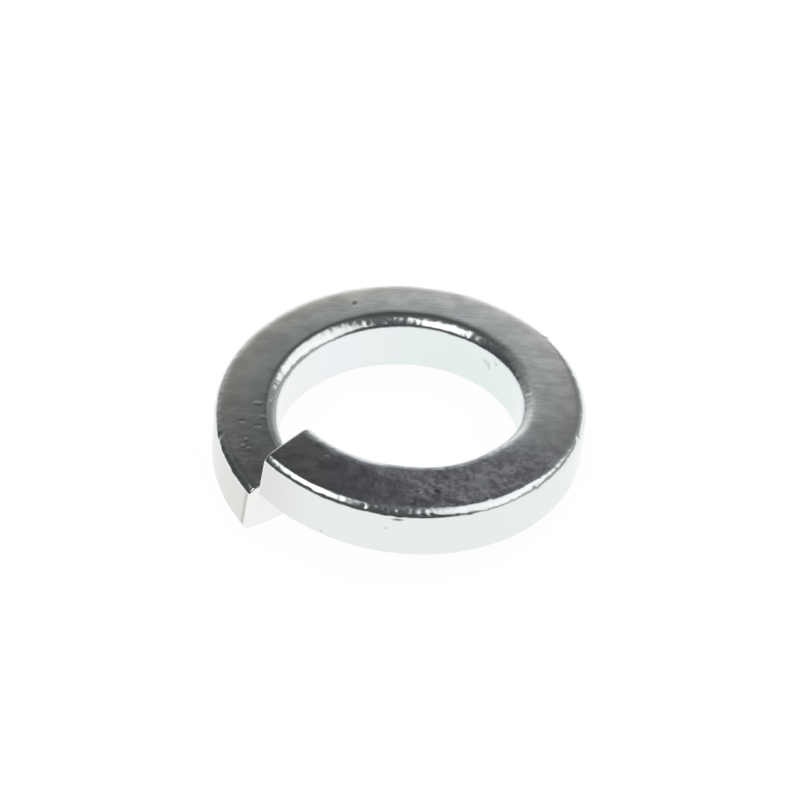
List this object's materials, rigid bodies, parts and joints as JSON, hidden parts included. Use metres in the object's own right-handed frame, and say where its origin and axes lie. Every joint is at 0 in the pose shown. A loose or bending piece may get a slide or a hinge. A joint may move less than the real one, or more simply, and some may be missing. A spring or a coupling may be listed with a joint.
{
  "type": "spring lock washer",
  "caption": "Split spring washer wound as a single left-hand turn of square wire, with offset sheared ends that bite and keep a bolted joint tight.",
  "frame": {"origin": "on the bore axis, level with the lowest point of the low end, at the bottom centre of the washer's box", "axes": "+Z along the bore axis, from the joint surface towards the bolt head; the low end lies 221 degrees round from +X towards +Y, and the wire rises from it clockwise as seen from above"},
  "size_m": [0.0093, 0.0092, 0.0032],
  "materials": {
    "zinc_plated_spring_steel": "bright zinc plating over cold-rolled spring steel, with drawing marks and small pits on the flats"
  },
  "bodies": {
    "root": {"washer": "zinc_plated_spring_steel"}
  },
  "joints": []
}
